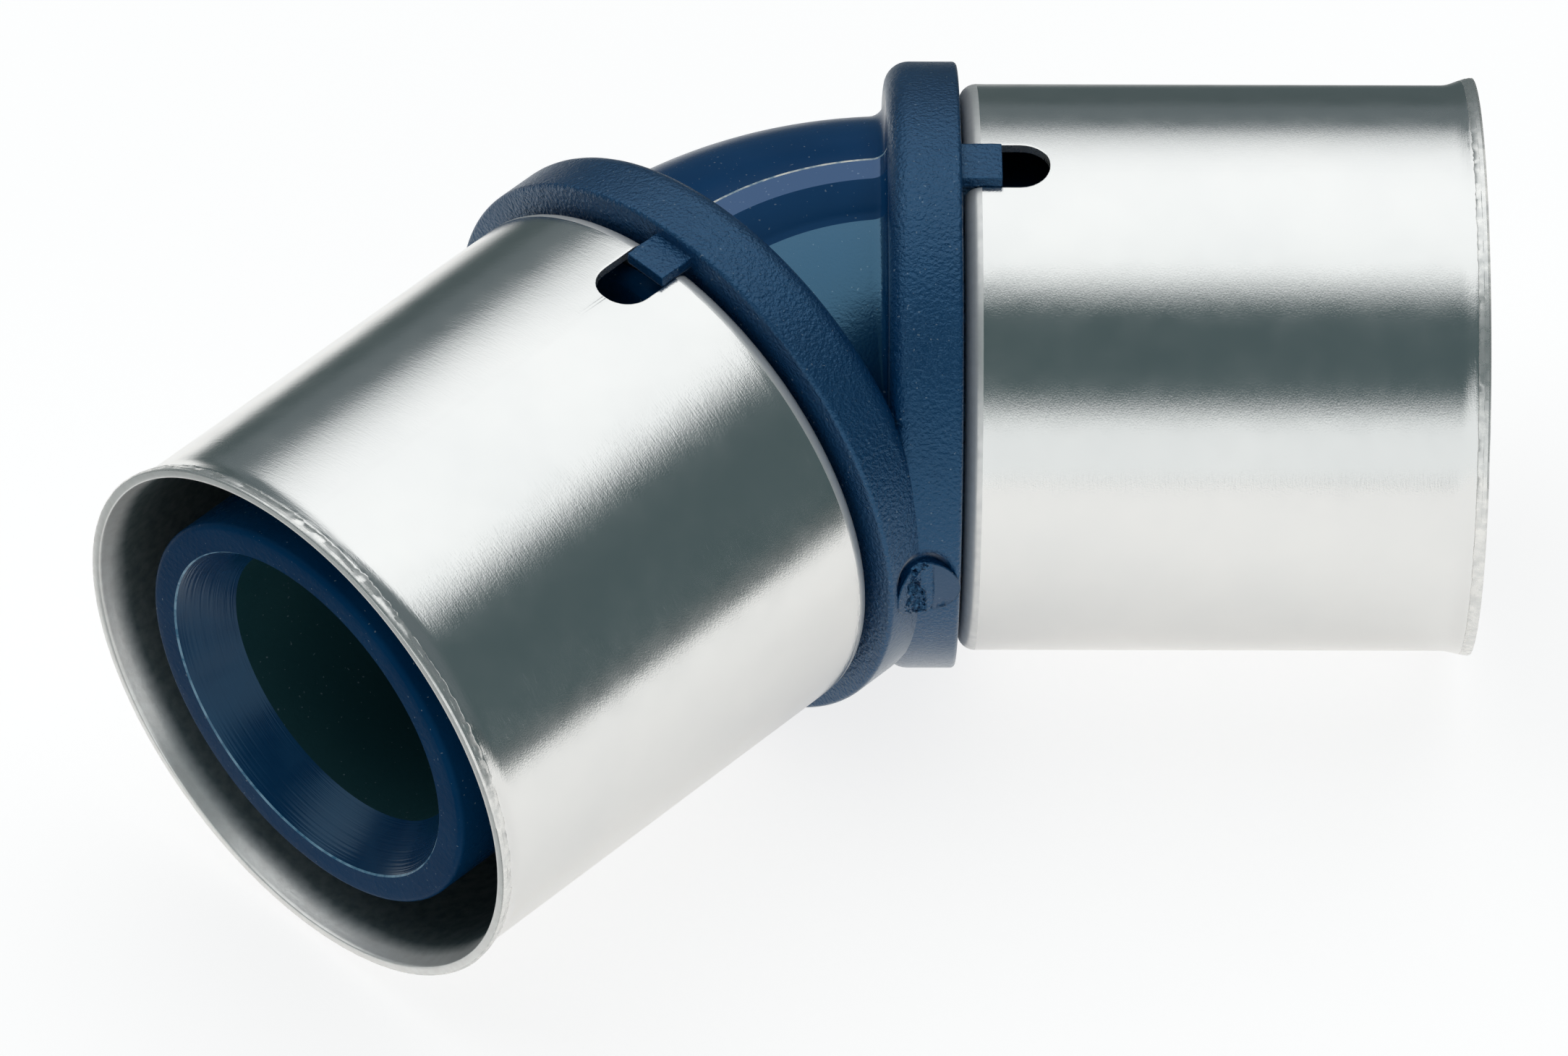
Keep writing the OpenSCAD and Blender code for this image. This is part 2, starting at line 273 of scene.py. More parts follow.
for a in np.radians([20, 45, 70, 90]):
    add_ring(FACE - RIM_EDGE + RIM_EDGE * math.sin(a), FLANGE_R - RIM_EDGE + RIM_EDGE * math.cos(a),
             ON_FLANGE)
for r in (28.1, 26.0, 24.0, GROOVE_R + 0.15, GROOVE_R):
    add_ring(FACE, r, ON_FLANGE)
print(len(rows), "rows to the flange's face, of which", first, "up to the rim's rounding")

# %% [markdown]
# Behind the flange the sleeve's lip snaps over a collar with a slanted edge. The spigot is a
# plain tube with two square grooves for the rubber rings and a rounded tip.

# %% Rows of the collar and the spigot
SLANT, SOFT, TIP_ROUND = 0.7, 0.05, 0.6
SEAL_OUT, SEAL_IN, SEAL_HALF, SEAL_FLOOR = TIP - 9.3, TIP - 17.8, 1.8, 18.05
add_ring(COLLAR, GROOVE_R, ON_SPIGOT)
for s, r in ((COLLAR, COLLAR_R - 0.15), (COLLAR + 0.15, COLLAR_R), (STOP - SLANT - SOFT, COLLAR_R),
             (STOP - SLANT + SOFT, COLLAR_R - SOFT), (STOP - SOFT, COLLAR_R - SLANT + SOFT),
             (STOP, COLLAR_R - SLANT - SOFT), (STOP, SPIGOT_R + 0.1), (STOP + 0.1, SPIGOT_R)):
    add_ring(s, r, ON_SPIGOT)
for at in (SEAL_IN, SEAL_OUT):
    for s, r in ((-SEAL_HALF - 0.1, SPIGOT_R), (-SEAL_HALF, SPIGOT_R - 0.1), (-SEAL_HALF, SEAL_FLOOR),
                 (SEAL_HALF, SEAL_FLOOR), (SEAL_HALF, SPIGOT_R - 0.1), (SEAL_HALF + 0.1, SPIGOT_R)):
        add_ring(at + s, r, ON_SPIGOT)
for a in np.radians([0, 15, 30, 45, 60, 75, 90]):
    add_ring(TIP - TIP_ROUND + TIP_ROUND * math.sin(a), SPIGOT_R - TIP_ROUND + TIP_ROUND * math.cos(a),
             ON_SPIGOT)
print(len(rows), "rows to the tip")

# %% [markdown]
# The mouth's cone guides the water in. Its edge is sharp, and a thin band there has a
# painted pale highlight as a finish of its own. The bore is plain and straight. Inside the bend
# it ends at the mitre plane, and outside it turns over to the other leg on an arc round the point
# where the pipe axes cross, so that the water meets no corner there.

# %% Rows of the mouth and the bore
BORE_R, MOUTH_R, MOUTH_DEPTH = 14.5, 17.45, 5.0
for r in (19.0, 17.8):
    add_ring(TIP, r, ON_SPIGOT)
# Painted highlight: the thin band at the mouth's edge takes the pale edge finish.
add_ring(TIP, MOUTH_R + 0.11, ON_EDGE)
add_ring(TIP - 0.11, MOUTH_R, ON_EDGE)
add_ring(TIP - 0.16, MOUTH_R - 0.04, ON_CONE)
cone = MOUTH_R - BORE_R
for t in (0.08, 0.3, 0.5, 0.7, 0.9, 0.985):
    add_ring(TIP - MOUTH_DEPTH * t, MOUTH_R - cone * t, ON_CONE)
end = np.maximum(0, -TAN * BORE_R * COS)
for t in (0.0, 0.003, 0.06, 0.3, 0.65, 1.0):
    add_ring(TIP - MOUTH_DEPTH + (end - TIP + MOUTH_DEPTH) * t, BORE_R, ON_BORE)
for g in np.linspace(0, HALF, 6)[1:]:
    add_row(np.where(COS > 0, -BORE_R * COS * math.sin(g), end),
            np.where(COS > 0, BORE_R * COS * math.cos(g), BORE_R * COS), BORE_R * SIN, ON_BORE)
rows, kinds = np.array(rows), np.array(kinds)
print(rows.shape, "rows, columns and coordinates of one half")

# %% [markdown]
# The mould filled through a gate at the crease where the two flanges meet. The gate stands
# in a small pocket. The pocket is pressed into the rings of points: a point under the pocket's
# outline moves inwards, square to the crease, down to the pocket's floor.

# %% Gate pocket
GATE_W = 0.35
POCKET_W, POCKET_UP, POCKET_WIDE = 0.05, 1.95, 0.95
POCKET_DEEP, POCKET_RISE, WALL_IN, WALL_OUT = 0.75, 0.15, 1.7, 3.25
UP_U = np.array([math.sin(HALF), -math.cos(HALF), 0])
UP_W = np.array([math.cos(HALF), math.sin(HALF), 0])
CREASE = FLANGE_R / math.cos(HALF)


def ramp(x, low, high):
    """0 below low, 1 above high, and 3t^2 - 2t^3 between them."""
    t = np.clip((x - low) / (high - low), 0, 1)
    return t * t * (3 - 2 * t)


def press_pocket(p):
    """Lowers points of the flanges to the floor of the gate's pocket: the wall slopes down
    softly between 3.25 mm and 1.7 mm from the pocket's middle, and the floor rises outwards."""
    u, w, z = p @ UP_U, p @ UP_W, p[..., 2]
    away = np.hypot((w - POCKET_W) / POCKET_WIDE, z - POCKET_UP)
    floor = CREASE - POCKET_DEEP + POCKET_RISE * away
    depth = (1 - ramp(away, WALL_IN, WALL_OUT)) * np.maximum(u - floor, 0) * (u > 27)
    return p - depth[..., None] * UP_U


print("crease", round(CREASE, 2), "mm out, pocket's floor", round(CREASE - POCKET_DEEP, 2))


# %% [markdown]
# The two halves become one mesh. Leg B's points are leg A's in a mirror, so its faces are
# turned round to face outwards again. Each face takes the finish of its row; on the bend the
# angle decides between the ridge with its painted highlight, the glossy land, the band with its
# shoulder, and the tube. The gate's pocket is pressed in here.

# %% Body mesh
HIGHLIGHT_HALF, LAND_PAST = 0.2, 0.6


def body_mesh():
    """Both halves as points, quads and finishes: quads join neighbouring rings, except in the
    columns inside the bend that lie hidden where the flanges cross. A column's angle is the
    middle of its two edges' angles."""
    points, quads, finish, count = [], [], [], 0
    hidden = np.abs(np.abs(PHI) - math.pi) < math.radians(pinch) - 1e-4
    hidden = hidden | np.roll(hidden, -1)
    middle = np.abs(np.degrees(np.arctan2(SIN + np.roll(SIN, -1), COS + np.roll(COS, -1))))
    for leg in "ab":
        for low, high in ((0, first), (first, len(rows))):
            p = leg_points(leg, *np.moveaxis(rows[low:high], -1, 0))
            f = grid_faces(high - low, len(PHI))
            k = np.repeat(kinds[low:high - 1] if low else kinds[1:high], len(PHI))
            angle = np.tile(middle, high - low - 1)
            zone = np.where(angle < junction, ON_BAND, ON_TUBE)
            zone = np.where((angle > ridge) & (angle < land + LAND_PAST), ON_BEND, zone)
            # Painted highlight: a thin strip along the ridge takes the pale edge finish.
            zone = np.where(np.abs(angle - ridge) < HIGHLIGHT_HALF, ON_EDGE, zone)
            k = np.where(k == ON_BEND, zone, k)
            if low == 0:
                seen = ~np.tile(hidden, high - low - 1)
                f, k = f[seen], k[seen]
            points.append(press_pocket(p).reshape(-1, 3))
            quads.append((f[:, ::-1] if leg == "b" else f) + count)
            finish.append(k)
            count += p.shape[0] * p.shape[1]
    points, quads, finish = np.concatenate(points), np.concatenate(quads), np.concatenate(finish)
    if volume(points, quads) < 0:
        quads = quads[:, ::-1]
    return points, quads, finish


body_p, body_q, body_k = body_mesh()
print("body volume", round(volume(body_p, body_q) / 1000, 2), "cm3")

# %% [markdown]
# Moulding, drawing and tearing leave real pieces a little uneven. Value noise stands in for
# that: it gives every point of space a number that changes smoothly from place to place, and
# the same seed always gives the same numbers, so the piece looks the same on every run.

# %% Value noise
def lattice(x, y, z, seed):
    """Value noise between -1 and 1: hashed numbers on a unit lattice, blended by 3t^2 - 2t^3."""
    def corner(i, j, k):
        """A number from three indices and the seed: whole numbers mixed by shifts and products."""
        h = (i * 374761393 + j * 668265263 + k * 2147483647 + seed * 1274126177) & 0xFFFFFFFF
        h = ((h ^ (h >> 13)) * 1274126177) & 0xFFFFFFFF
        return (h ^ (h >> 16)) / 2147483648.0 - 1
    f = [np.floor(c).astype(np.int64) for c in (x, y, z)]
    u, v, w = [(c - g) ** 2 * (3 - 2 * (c - g)) for c, g in zip((x, y, z), f)]

    def face(k):
        """The four corners of one face of the cell, blended along x and then along y."""
        low = corner(f[0], f[1], k) * (1 - u) + corner(f[0] + 1, f[1], k) * u
        high = corner(f[0], f[1] + 1, k) * (1 - u) + corner(f[0] + 1, f[1] + 1, k) * u
        return low * (1 - v) + high * v
    return face(f[2]) * (1 - w) + face(f[2] + 1) * w


print("noise at a point", lattice(*np.array([[0.5], [0.5], [0.5]]), 7).round(3))

# %% [markdown]
# Above and below, each leg has a lug: a moulded tab that stands in the sleeve's window and
# keeps the sleeve from turning. It is a small box with rounded edges, and its free end is a
# little uneven, as a thin moulded tab is.

# %% Lugs
LUG_HALF, LUG_LOW, LUG_TOP = 2.3, 26.15, 27.4


def rounded_box(low, high, r, n=7):
    """Box with rounded edges: a point of a box grid is pulled to the inner box that is r smaller,
    then pushed out again by r along the line between them."""
    low, high = np.array(low, float), np.array(high, float)
    pts, faces = [], []
    t = np.linspace(-1, 1, n)
    t = np.sign(t) * (1 - (1 - np.abs(t)) ** 2.2)
    a, b = np.meshgrid(t, t, indexing="ij")
    mid, half = (low + high) / 2, (high - low) / 2
    for axis in range(3):
        for side in (-1, 1):
            q = np.empty((n, n, 3))
            q[..., axis] = side
            q[..., (axis + 1) % 3], q[..., (axis + 2) % 3] = a, b
            q = q * half
            core = np.clip(q, -(half - r), half - r)
            way = q - core
            q = core + r * way / np.maximum(np.linalg.norm(way, axis=-1, keepdims=True), 1e-9)
            f = grid_faces(n, n, False, len(pts) * n * n)
            faces.append(f if side > 0 else f[:, ::-1])
            pts.append((q + mid).reshape(-1, 3))
    return np.concatenate(pts), np.concatenate(faces)


lug_p, lug_q = [], []
for leg in "ab":
    for side in (1, -1):
        p, q = rounded_box((FACE - 1, -LUG_HALF, LUG_LOW), (STOP, LUG_HALF, LUG_TOP), 0.14, 13)
        p[:, 2] *= side
        wave = 0.05 * lattice(p[:, 0] * 2.1, p[:, 1] * 2.3, p[:, 2] * 1.7, 7 if leg == "a" else 9)
        p[:, 1] += wave
        p[:, 2] += 0.6 * wave * (np.abs(p[:, 2]) > LUG_TOP - 0.4)
        p = leg_points(leg, p[:, 0], p[:, 1], p[:, 2])
        if volume(p, q) < 0:
            q = q[:, ::-1]
        lug_q.append(q + len(body_p) + sum(len(x) for x in lug_p))
        lug_p.append(p)
print(len(lug_p), "lugs")


# %% [markdown]
# The stub was twisted off, not cut. Its middle is torn and pitted, and the parts left and right
# of the tear are smooth and lie flush with the flanges. A disc of rings gives it a height at each
# point: the flange's own height, a fill in the crease, and pits and crumbs from stacked noise.
# The tear's two borders, the step line and the main pits are short lists of places.

# %% Gate stub
STEP = 0.76
STUB_A, STUB_B = 3.08, 3.3
BORDER_LEFT = ([-2.65, -1.04, -0.28, 1.06, 2.86], [-1.5, -2.5, -1.84, -1.87, -1.55])
BORDER_RIGHT = ([-2.47, -0.74, 1.3, 2.04, 2.99], [0.25, 0.0, -0.55, -1.0, 0.29])
PITS = [(-1.25, 1.2, 0.42, 0.8), (-0.2, -0.45, 0.34, 0.9), (-0.9, -1.1, 0.36, 0.7),
        (-1.9, -0.75, 0.3, 0.5), (-0.7, 0.5, 0.28, 0.5), (-1.0, 2.5, 0.3, 0.6)]


def stub_height(a, b):
    """Height along the crease's outward direction: the flanges' height plus 0.12 mm, filled in
    the crease; between two wavy borders it drops into pits with sharp crumbs at their edges,
    and right of the step line the face is 0.1 mm higher."""
    w = a + GATE_W
    flange = np.sqrt(np.maximum(FLANGE_R ** 2 - b ** 2, 0)) / math.cos(HALF) + TAN * np.abs(w)
    base = flange + 0.12 + 0.22 * np.exp(-(w / 0.8) ** 2)
    left, right = np.interp(b, *BORDER_LEFT), np.interp(b, *BORDER_RIGHT)
    edge = 0.16 * lattice(a * 2.2, b * 2.2, 0 * a, 3) + 0.10 * lattice(a * 6, b * 6, 0 * a, 4)
    torn = ramp(a - left + edge, 0, 0.18) * ramp(right - a - edge, 0, 0.1)
    pits = lattice(a * 1.9, b * 2.6, 0 * a, 11) + 0.7 * lattice(a * 4.6, b * 6, 0 * a, 12)
    crumbs = np.abs(lattice(a * 7.5, b * 7.5, 0 * a, 13))
    base = base + torn * (-0.30 + 0.30 * pits + 0.30 * crumbs)
    for pit_a, pit_b, size, deep in PITS:
        base = base - torn * deep * np.exp(-((a - pit_a) ** 2 + (b - pit_b) ** 2) / size ** 2)
    base = base + 0.10 * np.exp(-((a - right + edge) / 0.09) ** 2) * (np.abs(b) < 2.8)
    low = ramp(-b - 1.2, 0, 0.5) * ramp(a - 0.5, 0, 0.4) * ramp(np.hypot(a, b), 2.35, 2.7)
    base = base - low * 0.3 * np.maximum(lattice(a * 4, b * 4, 0 * a, 21), 0)
    base = base + 0.10 * ramp(a, STEP - 0.04, STEP + 0.04) * (b > -1.6)
    base = base - 0.06 * np.exp(-((a - STEP) / 0.05) ** 2)
    return base, torn


def stub_mesh(rings=46, spokes=132):
    """An oval disc of rings with the height above, and a skirt that runs down into the body."""
    t = np.linspace(0, 1, rings)[1:] ** 0.85
    th = np.linspace(0, 2 * math.pi, spokes, endpoint=False)
    rag = 1 + 0.015 * lattice(3 * np.cos(th), 3 * np.sin(th), 0 * th, 31)
    a = STUB_A * t[:, None] * np.cos(th) * rag
    b = STUB_B * t[:, None] * np.sin(th) * rag
    h, torn = stub_height(a, b)
    side_a, side_b = np.repeat(a[-1:], 3, 0), np.repeat(b[-1:], 3, 0)
    drop = np.array([0.12, 0.9, 3.0])[:, None]
    a = np.concatenate([np.zeros((1, spokes)), a * (1 - 0.03 * (t[:, None] > 0.999)), side_a,
                        np.zeros((1, spokes))])
    b = np.concatenate([np.zeros((1, spokes)), b * (1 - 0.03 * (t[:, None] > 0.999)), side_b,
                        np.zeros((1, spokes))])
    middle = h[0].mean()
    h = np.concatenate([np.full((1, spokes), middle), h, h[-1] - drop, np.full((1, spokes), 28.0)])
    p = h[..., None] * UP_U + (a + GATE_W)[..., None] * UP_W + b[..., None] * np.array([0, 0, 1.0])
    f = grid_faces(len(h), spokes)
    kind = np.full(len(f), ON_FLANGE)
    hole = np.concatenate([torn[:1], torn, 0 * torn[-1:] * np.ones((4, 1))])[:-1].ravel()[:len(f)]
    cut = np.concatenate([a[:1], a])[:-1].ravel()[:len(f)] > STEP - 0.02
    cut &= np.arange(len(f)) < (rings - 1) * spokes
    kind[cut] = ON_CUT
    kind[hole > 0.35] = ON_TEAR
    p = p.reshape(-1, 3)
    return p, f if volume(p, f) > 0 else f[:, ::-1], kind


stub_p, stub_q, stub_k = stub_mesh()
start = len(body_p) + sum(len(x) for x in lug_p)
points = np.concatenate([body_p] + lug_p + [stub_p])
quads = np.concatenate([body_q] + lug_q + [stub_q + start])
finish = np.concatenate([body_k] + [np.full(len(q), ON_FLANGE) for q in lug_q] + [stub_k])
body = make_object("elbow_body_skin", points, quads, finish)

# %% [markdown]
# ## The press sleeves
# A sleeve is drawn from thin stainless sheet: an inward lip that snaps behind the collar, a
# rounded shoulder, a plain wall and a flared mouth. Two windows show whether the pipe is home.
# The mouth was trimmed by shearing, so the last millimetre outside is a bright sheared band
# with a jagged border. The lists below give the mouth's profile as distances before the rim
# and radii over the wall's, read outwards over the flare and back along the inside.

# %% Sleeve section
DRAWN, SHEARED, INSIDE, SATIN = range(4)
SLEEVE_R, WALL, LIP_HOLE, SHEET_BEND, FLARE_LEN = 26.75, 1.0, 22.9, 1.6, 3.2
WINDOW_HALF, WINDOW_END = 2.8, STOP + 4.5
STRAIGHT = WINDOW_END - WINDOW_HALF
ARCH = np.radians([12, 24, 36, 47, 57, 66, 74, 81, 90])
FLARE = [(2.9, 0), (2.6, .015), (2.3, .06), (2.0, .13), (1.7, .215), (1.4, .305), (1.2, .37)]
SHEAR = [(1.13, .375), (1.10, .345), (1.05, .40), (0.60, .52), (0.57, .50), (0.2, .575), (0.05, .50)]
NOSE = [(0.0, .38), (0.0, .0), (0.0, -.22), (.05, -.33), (.14, -.39)]
INNER = [(.4, -.45), (.9, -.60), (1.4, -.735), (1.9, -.85), (2.3, -.93), (2.7, -.98), (3.1, -1.0)]


def sleeve_section():
    """Closed profile of the sheet as stations, radii and finishes: a satin rear shoulder, the
    drawn wall, the sheared band at the mouth, and the inside. The first rows and the last rows,
    up to the window's end, face each other pair by pair."""
    a = np.radians([0, 12, 25, 38, 51, 64, 77, 90])
    plain = np.linspace(REAR + SHEET_BEND, STRAIGHT, 5)[1:]
    arch = STRAIGHT + WINDOW_HALF * np.sin(ARCH)
    reach = np.concatenate([plain, arch])
    rear, inner_bend = REAR + SHEET_BEND, SHEET_BEND - WALL
    foot = SLEEVE_R - SHEET_BEND
    out_s = np.concatenate([[REAR, REAR], rear - SHEET_BEND * np.cos(a), reach])
    out_r = np.concatenate([[LIP_HOLE, 24.0], foot + SHEET_BEND * np.sin(a), SLEEVE_R + 0 * reach])
    in_s = np.concatenate([[REAR + WALL, REAR + WALL], rear - inner_bend * np.cos(a), reach])
    in_r = np.concatenate([[LIP_HOLE, 24.0], foot + inner_bend * np.sin(a),
                           SLEEVE_R - WALL + 0 * reach])
    wall = np.linspace(WINDOW_END, RIM - 3.3, 11)[1:]
    rim = np.array(FLARE + SHEAR + NOSE + INNER)
    s = np.concatenate([out_s, wall, RIM - rim[:, 0], wall[::-1], in_s[::-1]])
    r = np.concatenate([out_r, SLEEVE_R + 0 * wall, SLEEVE_R + rim[:, 1],
                        SLEEVE_R - WALL + 0 * wall, in_r[::-1]])
    first_cut = len(out_s) + len(wall) + len(FLARE)
    last_cut = first_cut + len(SHEAR)
    row = np.arange(len(s))
    kind = np.select([(row > 0) & (row < 9), row < first_cut, row < last_cut],
                     [SATIN, DRAWN, SHEARED], INSIDE)
    return s, r, kind, len(out_s)


print(len(sleeve_section()[0]), "rows in a sleeve's section")


# %% [markdown]
# Drawing sheet steel leaves it a little uneven: ripples on the rear shoulder, a wall that is
# not quite round, and on sleeve B one crease beside the shoulder. Shearing leaves a ragged
# border. Both are added to the points, because they show in the reflections.

# %% Unevenness of the sheet
def sheet_dents(leg, seed, cx, cy, st):
    """Radius to add to the outside: two noises under a bell curve at the rear shoulder, a slow
    noise everywhere, and on leg B a narrow bell curve for the crease, faded by a noise."""
    shoulder = np.exp(-((st - REAR - 1.8) / 1.2) ** 2) * (st > REAR + 0.3)
    grow = shoulder * (0.012 * lattice(cx * 7, cy * 7, st * 0.8, seed)
                       + 0.007 * lattice(cx * 22, cy * 22, st * 2.0, seed + 5))
    grow += 0.0035 * lattice(cx * 2.2, cy * 2.2, st * 0.05, seed + 1)
    if leg == "b":
        here = ramp(cx * -0.9 + cy * 0.2, -0.9, -0.2)
        crease = ramp(lattice(cx * 3, cy * 3, 0 * cx, 77), -0.5, 0.3) * here
        grow -= 0.022 * crease * np.exp(-((st - REAR - 3.1) / 0.35) ** 2)
    return grow


def ragged_edge(leg, seed, cx, cy, kind):
    """Station and radius to add at the mouth: three rows at the skin's end get teeth of noise,
    wider in some places, and the two rows after them get longer waves."""
    jag = 0.55 if leg == "a" else 1.0
    tooth = lattice(cx * 90, cy * 90, 0 * cx, seed + 2)
    tooth = tooth + 0.8 * lattice(cx * 34, cy * 34, 0 * cx, seed + 3)
    wide = ramp(lattice(cx * 2.1, cy * 2.1, 0 * cx, seed + 7), -0.3, 0.7)
    wave = lattice(cx * 26, cy * 26, 0 * cx, seed + 8) + 0.5 * tooth
    row = (np.arange(len(kind)) - np.argmax(kind == SHEARED))[:, None]
    border, split, rough = np.abs(row) < 2, (row == 2) | (row == 3), (row > 2) & (row < 8)
    longer = border * jag * (0.04 + 0.10 * wide) * tooth + split * 0.09 * jag * wave
    return longer, border * 0.004 * tooth + rough * 0.002 * tooth


turns = np.linspace(0, 2 * math.pi, 4000)[None]
teeth = ragged_edge("b", 61, np.cos(turns), np.sin(turns), sleeve_section()[2])[0]
print("teeth at sleeve B's mouth up to", np.abs(teeth).max().round(2), "mm long")

# %% [markdown]
# Each sleeve is two curved strips, one to the left and one to the right of its windows, which
# meet where there is no window. Because a strip's ends follow the windows' round outline, the
# windows are cut without a boolean, and their walls are exactly as thick as the sheet. The
# sleeves sit loose: they are turned a little, hang down, and sleeve B has slipped outwards.

# %% Sleeve shells
DROP, SLEEVE_TURN = 0.3, math.radians(0.9)
SLIP = {"a": 0.0, "b": 0.3}


def sleeve_mesh(leg, seed, cols=262):
    """The section carried round the leg in two strips. A strip's ends follow the windows' sides,
    at a distance of half the window's width from the leg's upright plane."""
    s, r, kind, paired = sleeve_section()
    half = np.sqrt(np.maximum(WINDOW_HALF ** 2 - np.maximum(s - STRAIGHT, 0) ** 2, 0))
    half = np.where(s > WINDOW_END - 1e-6, 0, half)
    cut = np.arcsin(half / r)[:, None]
    inside = (np.arange(len(s)) > len(s) // 2)[:, None]
    skin = np.where(inside[:, 0], SLEEVE_R - WALL, SLEEVE_R)
    inset = np.array([0, 0.0025, 0.006])
    t = np.linspace(0, 1, cols - 6)
    near_edge = (half[:, None] > 0) * np.exp(-np.arange(cols) / 0.6)[None]
    near_edge = near_edge + near_edge[:, ::-1]
    pts, faces, kinds_out, count = [], [], [], 0
    for side in (0, 1):
        span = math.pi - 2 * cut
        middle = cut + 0.010 + (span - 0.020) * t
        th = np.concatenate([cut + inset, middle, cut + span - inset[::-1]], 1)
        th = th - math.pi / 2 + math.pi * side
        cx, cy, st = np.cos(th), np.sin(th), s[:, None]
        longer, higher = ragged_edge(leg, seed, cx, cy, kind)
        flare = np.maximum(r - skin, 0)[:, None] * (st > RIM - FLARE_LEN)
        tall = 0.33 * cy if leg == "a" else 0.06 * cy
        rr = r[:, None] + np.where(inside, 0, sheet_dents(leg, seed, cx, cy, st)) + higher
        rr = rr + flare * tall - np.where(inside, -0.05, 0.05) * near_edge
        ss = np.minimum(st + longer, RIM)
        o = rr * np.cos(th - SLEEVE_TURN)
        z = rr * np.sin(th - SLEEVE_TURN) - DROP
        p = leg_points(leg, ss + SLIP[leg], o, z)
        last = (len(s) - 1) * cols
        seam = np.stack([np.arange(cols - 1) + last, np.arange(1, cols) + last,
                         np.arange(1, cols), np.arange(cols - 1)], -1)
        i = np.arange(paired - 1)
        j = len(s) - 1 - i
        low = np.stack([i, i + 1, j - 1, j], -1) * cols
        high = (low + cols - 1)[:, ::-1]
        faces += [f + count for f in (grid_faces(len(s), cols, False), seam, low, high)]
        kinds_out += [np.repeat(kind[:-1], cols - 1), np.full(cols - 1, INSIDE),
                      np.full(2 * len(i), SHEARED)]
        pts.append(p.reshape(-1, 3))
        count += p.shape[0] * cols
    pts, faces = np.concatenate(pts), np.concatenate(faces)
    if volume(pts, faces) < 0:
        faces = faces[:, ::-1]
    return pts, faces, np.concatenate(kinds_out)


sleeves = {}
for leg, seed in (("a", 41), ("b", 61)):
    sleeves[leg] = make_object("press_sleeve_" + leg + "_skin", *sleeve_mesh(leg, seed), sharp=38)

# %% [markdown]
# ## Finishes
# Each finish is a small network of nodes that reads Object coordinates, in metres, so a pattern
# keeps its real size: the spark-eroded texture of the flanges is about 0.4 mm, the strokes in
# the drawn steel are about 0.2 mm wide and a little over 1 mm long. Pictures could do the same,
# but they need unwrapping and show seams; noise in space runs over every edge without one.

# %% Node helpers
def finish_named(name):
    """A new material with its principled shader and Object coordinates at hand."""
    mat = bpy.data.materials.new(name)
    mat.use_nodes = True
    tree = mat.node_tree
    shader = tree.nodes["Principled BSDF"]
    place = tree.nodes.new("ShaderNodeTexCoord").outputs["Object"]
    return mat, tree, shader, place


def add_node(tree, kind, links=None, **values):
    """Adds a node; values name sockets or properties, links name sockets and their sources."""
    node = tree.nodes.new("ShaderNode" + kind)
    for key, value in values.items():
        if hasattr(node, key):
            setattr(node, key, value)
        else:
            node.inputs[key.replace("_", " ")].default_value = value
    for key, source in (links or {}).items():
        tree.links.new(source, node.inputs[key])
    return node


def noise(tree, place, scale, detail=3.0, rough=0.5, stretch=None, turn=0.0):
    """Noise in Object coordinates; stretch scales the axes of a frame turned about Z."""
    if stretch is not None:
        node = add_node(tree, "Mapping", {"Vector": place}, vector_type="TEXTURE")
        node.inputs["Rotation"].default_value = (0, 0, turn)
        node.inputs["Scale"].default_value = [1 / v for v in stretch]
        place = node.outputs[0]
    made = add_node(tree, "TexNoise", {"Vector": place}, Scale=scale, Detail=detail, Roughness=rough)
    return made.outputs["Fac"]


def spread(tree, value, low, high, to_low, to_high, kind="LINEAR"):
    """Maps a value from one range to another, with the ends held."""
    node = add_node(tree, "MapRange", {"Value": value}, interpolation_type=kind)
    for key, number in (("From Min", low), ("From Max", high), ("To Min", to_low), ("To Max", to_high)):
        node.inputs[key].default_value = number
    return node.outputs[0]


def two_tone(tree, value, dark, light):
    """A colour between two, chosen by a value from 0 to 1. Each is a colour or a socket."""
    mix = add_node(tree, "Mix", data_type="RGBA")
    tree.links.new(value, mix.inputs[0])
    for slot, tone in ((6, dark), (7, light)):
        if isinstance(tone, tuple):
            mix.inputs[slot].default_value = (*tone, 1)
        else:
            tree.links.new(tone, mix.inputs[slot])
    return mix.outputs[2]


def combine(tree, kind, a, b):
    """A number made from two numbers or sockets by the named operation."""
    node = add_node(tree, "Math", operation=kind)
    for slot, value in ((0, a), (1, b)):
        if isinstance(value, (int, float)):
            node.inputs[slot].default_value = value
        else:
            tree.links.new(value, node.inputs[slot])
    return node.outputs[0]


def along(tree, place, axis):
    """How far a place lies along an axis: their dot product."""
    node = add_node(tree, "VectorMath", {0: place}, operation="DOT_PRODUCT")
    node.inputs[1].default_value = axis
    return node.outputs["Value"]


def relief(tree, height, strength, distance, under=None):
    """A bump from a height; distance is the height in metres at 1."""
    links = {"Height": height}
    if under is not None:
        links["Normal"] = under
    return add_node(tree, "Bump", links, Strength=strength, Distance=distance).outputs[0]


print("node helpers ready")
